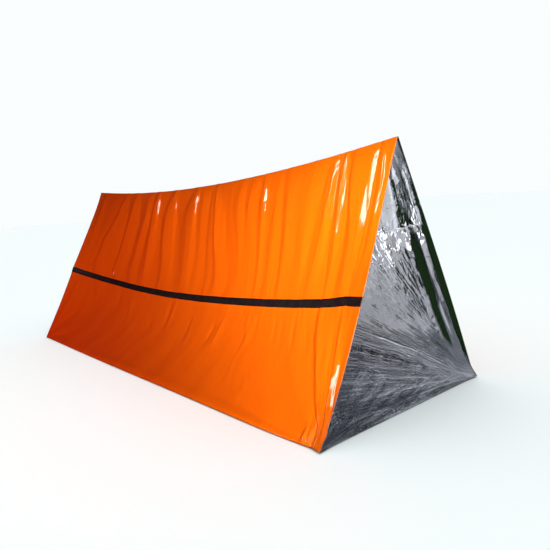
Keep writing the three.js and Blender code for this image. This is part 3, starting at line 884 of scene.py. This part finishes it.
def silver_inside(around):
    """Metallised inside: creases fanning from the pinned corners and from the ridge, small flat-sided
    crumples, the faint square grid in which the film was packed, and shade painted into the floor's colour."""
    finish = Finish("silver_inside", metallic=1.0, base_color=SILVER, roughness=0.1)
    place = finish.film_place()
    along = finish.part_of(place, 0)
    across = finish.part_of(place, 1)
    near_foot = NEAR_FOOT_SHARE * around[-1]
    far_foot = FAR_FOOT_SHARE * around[-1]
    below_ridge = around[-1] - across

    on_far_wall = (across - far_foot).between(*FAR_WALL_STARTS)
    on_floor = (across - near_foot).between(*FLOOR_STARTS) * (1 - on_far_wall)
    off_edge = along.between(*PAST_EDGE_STRIPS)
    off_strips = 1 - on_far_wall * (1 - off_edge) * below_ridge.between(*STRIPS_START)
    low_part = (across - far_foot).between(*LOW_PART_STARTS)
    middle = below_ridge.between(*MIDDLE_STARTS) * (1 - low_part) * off_edge
    burst = below_ridge.between(*BURST_STARTS) * (1 - below_ridge.between(*BURST_ENDS))
    burst = burst * (1 - along.between(*PAST_BURST))
    jagged = along.between(*JAGGED_STARTS) * (1 - along.between(*JAGGED_ENDS))
    jagged = jagged * on_far_wall * below_ridge.between(*JAGGED_BELOW)
    upper = on_far_wall * (1 - below_ridge.between(*UPPER_ENDS))

    creases = 0
    for corner, density, reach, height in FANS:
        creases = creases + height * finish.fan(along, across - corner * around[-1], density, reach)
    creases = creases * mix(CREASES_ON_STRIPS, 1, off_strips) * mix(CREASES_HIGH_UP, 1, low_part)
    creases = creases * (1 + CREASES_MORE_ON_FLOOR * on_floor)

    crumple = mix(CRUMPLE_LEAST, 1, on_far_wall) * mix(CRUMPLE_LEAST, 1, off_strips)
    crumple = crumple * (1 + CRUMPLE_IN_MIDDLE * middle)
    crumple = crumple + CRUMPLE_IN_BURST * burst + CRUMPLE_IN_JAGGED * jagged + CRUMPLE_HIGH_UP * upper
    warp = finish.noise(place, scale=24, detail=3, roughness=0.6)
    warped = finish.shifted(finish.film_place(stretch_around=0.5), warp, 1 - warp, reach=0.03)
    normal = finish.node("ShaderNodeNewGeometry", out="Normal")
    for scale, lean in CRUMPLES:
        normal = finish.tilted(normal, finish.cells(warped, scale), lean * crumple)

    turned_place = finish.film_place(stretch_around=0.15, turn=0.12)
    lines = finish.folds(finish.noise(turned_place, scale=34, detail=4, roughness=0.6)) * off_strips
    lines = lines * mix(1, LINES_ON_FLOOR, on_floor) * mix(1, LINES_HIGH_UP, upper)
    grid = 0
    for way in (across, along):
        grid = grid + finish.math("PINGPONG", way, PACKED_SQUARE / 2).between(0, PACKED_LINE)

    # Painted shade and dark reflections on the floor: darker by the near wall and in the creases, lighter
    # along the near edge
    painted_shade = FLOOR_PAINTED_SHADE - PAINTED_SHADE_LESS_FAR * across.between(near_foot, far_foot)
    painted_shade = painted_shade + PAINTED_SHADE_IN_CREASES * creases
    painted_shade = on_floor * painted_shade * mix(PAINTED_SHADE_AT_EDGE, 1, along.between(*PAST_PAINTED_LIGHT_EDGE))
    finish.feed("Base Color", finish.mixed(painted_shade, SILVER, SILVER_PAINTED_SHADE))
    finish.feed("Roughness", mix(*SILVER_ROUGHNESS, finish.noise(place, scale=15, detail=3)))
    normal = finish.bump(creases, distance=1.0, under=normal)
    normal = finish.bump(lines, distance=0.0025, strength=0.6, under=normal)
    finish.feed("Normal", finish.bump(grid, distance=0.0006, strength=0.8, under=normal))
    return finish.material


def black_tape():
    """Satin black tape, slightly ribbed along its length."""
    finish = Finish("black_tape", roughness=0.6, specular_ior_level=0.08)
    ribs = finish.noise(finish.film_place(stretch_along=0.08), scale=700)
    tone = finish.noise(finish.film_place(), scale=30, detail=3)
    finish.feed("Base Color", finish.ramp(tone, BLACK_TONES))
    finish.feed("Roughness", mix(*BLACK_ROUGHNESS, ribs))
    finish.feed("Normal", finish.bump(ribs, distance=0.0004, strength=0.5))
    return finish.material


# Camera, as the photo was taken: focal length in pixels of a 550 pixel frame, angles in degrees
PICTURE_WIDTH = 550
SENSOR_WIDTH = 36
FOCAL_PIXELS = 558.39
CAMERA_PLACE = (2.3666, -1.5447, 0.7833)
AZIMUTH = 50.114
ELEVATION = 8.130
ROLL = -4.038


def camera_axes(azimuth, elevation, roll):
    """Right, up and back of a camera at an azimuth from the -Y side, an elevation and a roll."""
    flat = math.cos(elevation)
    back = np.array([math.sin(azimuth) * flat, -math.cos(azimuth) * flat, math.sin(elevation)])
    level = np.cross((0, 0, 1), back)
    level /= np.linalg.norm(level)
    upright = np.cross(back, level)
    right = level * math.cos(roll) + upright * math.sin(roll)
    up = upright * math.cos(roll) - level * math.sin(roll)
    return right, up, back


def aimed(place, target, name, data):
    """An object at a place, its -Z turned to a target."""
    obj = bpy.data.objects.new(name, data)
    bpy.context.scene.collection.objects.link(obj)
    back = np.array(place, dtype=float) - np.array(target, dtype=float)
    back /= np.linalg.norm(back)
    side = np.cross((0, 0, 1), back)
    side /= np.linalg.norm(side)
    matrix = np.eye(4)
    matrix[:3, 0] = side
    matrix[:3, 1] = np.cross(back, side)
    matrix[:3, 2] = back
    matrix[:3, 3] = place
    obj.matrix_world = matrix.T.tolist()
    return obj


def set_camera():
    """The camera at the place and angle from which the photo was taken."""
    data = bpy.data.cameras.new("camera")
    data.sensor_width = SENSOR_WIDTH
    data.lens = FOCAL_PIXELS / PICTURE_WIDTH * SENSOR_WIDTH
    camera = bpy.data.objects.new("camera", data)
    bpy.context.scene.collection.objects.link(camera)
    matrix = np.eye(4)
    axes = camera_axes(math.radians(AZIMUTH), math.radians(ELEVATION), math.radians(ROLL))
    for column, axis in enumerate(axes):
        matrix[:3, column] = axis
    matrix[:3, 3] = CAMERA_PLACE
    camera.matrix_world = matrix.T.tolist()
    bpy.context.scene.camera = camera


def soft_light(name, place, target, size, watts, colour, lights_up, shown_in, spread=180):
    """A rectangular soft light that only the objects of one group show, in matt or in shiny surfaces, within
    an angle of spread in degrees."""
    data = bpy.data.lights.new(name, "AREA")
    data.shape = "RECTANGLE"
    data.size = size[0]
    data.size_y = size[1]
    data.energy = watts
    data.color = colour
    data.spread = math.radians(spread)
    light = aimed(place, target, name, data)
    light.visible_camera = False
    light.visible_diffuse = shown_in == "diffuse"
    light.visible_glossy = shown_in == "glossy"
    light.light_linking.receiver_collection = lights_up


def group_of(name, *objects):
    """A group of objects for lights to name, outside the scene's own tree."""
    group = bpy.data.collections.new(name)
    for obj in objects:
        group.objects.link(obj)
    return group


# The world's colours: light from above on matt surfaces, what shiny ones mirror from below up, that times a
# grey from the far end to the near one, and what the camera sees. Directions run from 0 to 1
GROUND_GREEN = (0.012, 0.028, 0.010)
OVERHEAD_LIGHT = [(0.45, (0.01, 0.01, 0.01)), (0.95, (0.05, 0.05, 0.05))]
MIRRORED_UPWARDS = [(0.485, GROUND_GREEN), (0.51, (0.55, 0.59, 0.65)), (0.9, (0.8, 0.84, 0.9))]
MIRRORED_TO_NEAR_END = [(0.45, (0.03, 0.03, 0.03)), (0.7, (1, 1, 1))]
BACKDROP = (0.955, 0.985, 0.985, 1)


def set_world():
    """A pale backdrop for the camera, soft light from above for matt surfaces, and for shiny ones dark green
    ground under a grey sky, both nearly black away from the near end."""
    world = bpy.data.worlds.new("studio")
    bpy.context.scene.world = world
    world.use_nodes = True
    nodes = Nodes(world.node_tree)
    direction = nodes.node("ShaderNodeTexCoord", out="Generated")
    upwards = nodes.part_of(direction, 2) * 0.5 + 0.5
    to_near_end = nodes.part_of(direction, 0) * 0.5 + 0.5
    ground_and_sky = nodes.ramp(upwards, MIRRORED_UPWARDS)
    near_end_share = nodes.ramp(to_near_end, MIRRORED_TO_NEAR_END)
    mirrored = nodes.mixed(1, ground_and_sky, near_end_share, blend="MULTIPLY")
    shader = nodes.node("ShaderNodeBackground", sockets={"Color": mirrored})
    overhead = nodes.ramp(upwards, OVERHEAD_LIGHT)
    for kind, colour in (("Is Diffuse Ray", overhead), ("Is Camera Ray", BACKDROP)):
        background = nodes.node("ShaderNodeBackground", sockets={"Color": colour})
        seen = nodes.node("ShaderNodeLightPath", out=kind)
        shader = nodes.node("ShaderNodeMixShader", sockets={0: seen, 1: shader, 2: background})
    nodes.put(nodes.tree.nodes["World Output"].inputs["Surface"], shader)


# The plain floor under the tent: how far it reaches each way, how far down it lies, and its colour
FLOOR_REACH = 30
FLOOR_DROP = 0.001
FLOOR_COLOUR = (0.86, 0.92, 0.92, 1)


def make_floor():
    """A plain pale floor just under the tent. It isn't mirrored and sends no light back."""
    mesh = bpy.data.meshes.new("studio_floor")
    signs = [(-1, -1), (1, -1), (1, 1), (-1, 1)]
    corners = [(x * FLOOR_REACH, y * FLOOR_REACH, -FLOOR_DROP) for x, y in signs]
    mesh.from_pydata(corners, [], [(0, 1, 2, 3)])
    finish = Finish("studio_floor", roughness=0.9, specular_ior_level=0.1, base_color=FLOOR_COLOUR)
    mesh.materials.append(finish.material)
    floor = bpy.data.objects.new("studio_floor", mesh)
    bpy.context.scene.collection.objects.link(floor)
    floor.visible_glossy = False
    floor.visible_diffuse = False
    return floor


# Lights that only matt surfaces show: name, place, target, size, watts, colour, spread in degrees
WARM_WHITE = (1.0, 0.98, 0.95)
RED_TINT = (1.0, 0.08, 0.03)
MATT_LIGHTS = [
    ("back_light", (0.4, 2.6, 1.1), (0, 0.25, 0.45), (1.4, 1.0), 19, WARM_WHITE, 90),
    ("ridge_key", (1.9, -1.0, 0.9), (1.12, -0.03, 0.86), (0.3, 0.3), 1.2, WARM_WHITE, 40),
    ("key", (2.1, -1.25, 0.43), (0.78, -0.2, 0.47), (0.4, 0.4), 8.2, WARM_WHITE, 56),
    ("fill", (-0.6, -2.2, 0.5), (-0.6, -0.2, 0.4), (1.6, 0.8), 17, RED_TINT, 180),
]

# Panels that only shiny surfaces mirror, all in one upright plane: name, X, Z, (width, height), watts
GLOSS_PANELS_Y = -2.5
GLOSS_PANELS = [
    ("high_panel", -0.175, 2.43, (0.21, 1.3), 30),
    ("top_panel", -0.62, 2.85, (0.5, 0.7), 36),
    ("low_panel", -0.95, 1.80, (0.7, 0.46), 34),
    ("lowest_panel", -0.76, 1.385, (0.14, 0.23), 3.4),
]

# Panels that the silver inside mirrors: name, place, target, size, watts
COOL_WHITE = (0.95, 0.97, 1)
INNER_PANELS = [
    ("far_opening", (-1.15, 0, 0.22), (0, 0, 0.22), (0.46, 0.4), 1.2),
    ("far_top", (-1.15, 0, 0.53), (0, 0, 0.53), (0.2, 0.2), 0.55),
    ("burst", (1.0, -0.05, 0.42), (1.0, 1.0, 0.42), (0.12, 0.1), 0.09),
    ("top_glow", (0.85, -0.02, 0.64), (0.85, 1.0, 0.64), (0.5, 0.2), 0.16),
    ("floor_glow", (0.75, 0.01, 0.5), (0.75, 0.011, 0), (0.8, 0.1), 0.22),
    ("low_glow", (0.35, 0, 0.02), (0.35, 0.001, 1), (1.4, 0.6), 0.8),
    ("side_glow", (0.65, -0.03, 0.31), (0.65, 1.0, 0.31), (0.8, 0.46), 0.25),
]

# The sky over the floor: its strength, its width in degrees and a place from which it is aimed down
SKY_STRENGTH = 3.2
SKY_ANGLE = 120
SKY_PLACE = (0, -0.5, 5)


def set_lights(floor, *pieces):
    """A wide sky for the floor alone, and the soft lights and panels for the tent."""
    tent = group_of("lit_tent", *pieces)
    ground = group_of("lit_floor", floor)
    sky = bpy.data.lights.new("sky", "SUN")
    sky.energy = SKY_STRENGTH
    sky.angle = math.radians(SKY_ANGLE)
    sky_light = aimed(SKY_PLACE, (0, 0, 0), "sky", sky)
    sky_light.light_linking.receiver_collection = ground
    for name, place, target, size, watts, colour, spread in MATT_LIGHTS:
        soft_light(name, place, target, size, watts, colour, tent, "diffuse", spread)
    for name, x, z, size, watts in GLOSS_PANELS:
        soft_light(name, (x, GLOSS_PANELS_Y, z), (x, 0, z), size, watts, (1, 1, 1), tent, "glossy")
    for name, place, target, size, watts in INNER_PANELS:
        soft_light(name, place, target, size, watts, COOL_WHITE, tent, "glossy")
    bpy.context.scene.view_settings.view_transform = "Standard"
    bpy.context.scene.view_settings.look = "None"


set_camera()
set_world()
face, at, around = film_face()
film = make_film(face, at, around, [orange_coating(around), silver_inside(around)])
band = make_band(at, black_tape())
set_lights(make_floor(), film, band)
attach(film, "root")
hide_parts("tube_film")
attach(band, "root")
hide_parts("side_band")
